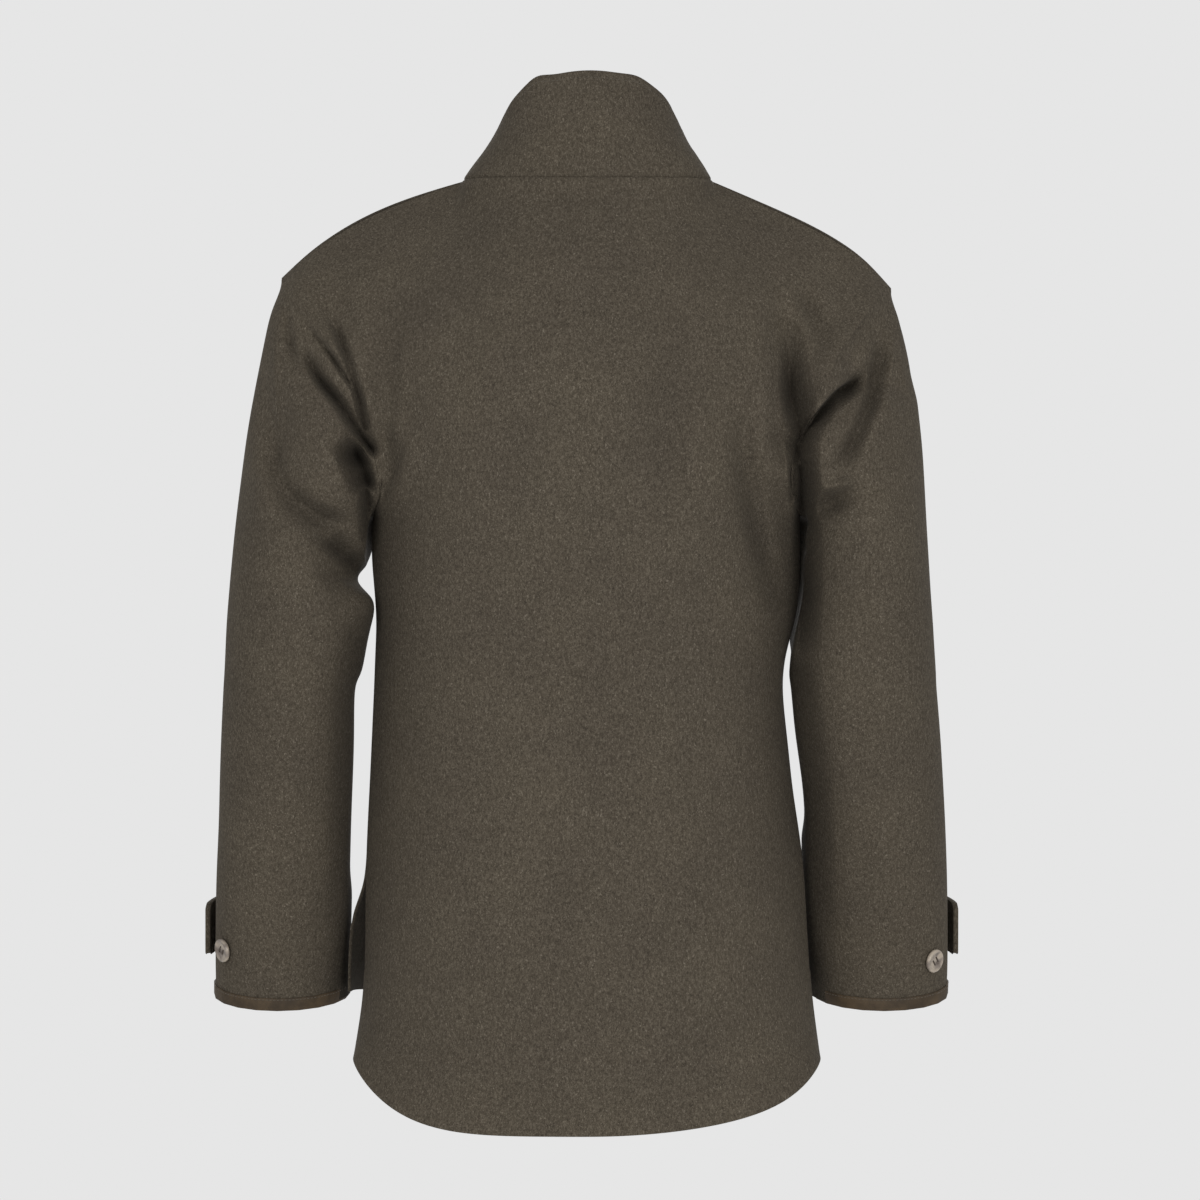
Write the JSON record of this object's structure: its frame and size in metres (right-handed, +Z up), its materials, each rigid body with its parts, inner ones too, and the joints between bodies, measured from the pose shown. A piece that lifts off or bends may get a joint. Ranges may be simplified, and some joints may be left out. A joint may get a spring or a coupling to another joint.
{
  "type": "loden jacket",
  "caption": "Hip-length felted wool jacket in its worn form, hollow, with a tall stand collar, set-in sleeves, bound cuffs with buttoned straps and a long round back hem.",
  "frame": {"origin": "middle of the neck opening, level with the back seam of the collar, where the wearer's neck and shoulders hold the jacket", "axes": "+Z up along the wearer's neck, +X to the wearer's left, -Y to the wearer's front"},
  "size_m": [0.6566, 0.2724, 0.8941],
  "materials": {
    "loden": "felted wool, heathered olive brown, dull",
    "binding": "smooth olive-brown binding strip",
    "horn": "marbled horn, softly polished"
  },
  "bodies": {
    "root": {"back": "loden", "front_left": "loden", "front_right": "loden", "sleeve_left": "loden", "sleeve_right": "loden", "collar": "loden", "cuff_tab_left": "loden", "cuff_tab_right": "loden", "cuff_binding_left": "binding", "cuff_binding_right": "binding", "cuff_button_left": "horn", "cuff_button_right": "horn", "tab_button_left": "horn", "tab_button_right": "horn", "front_button_1": "horn", "front_button_2": "horn", "front_button_3": "horn", "front_button_4": "horn", "front_button_5": "horn", "collar_button": "horn"}
  },
  "joints": []
}
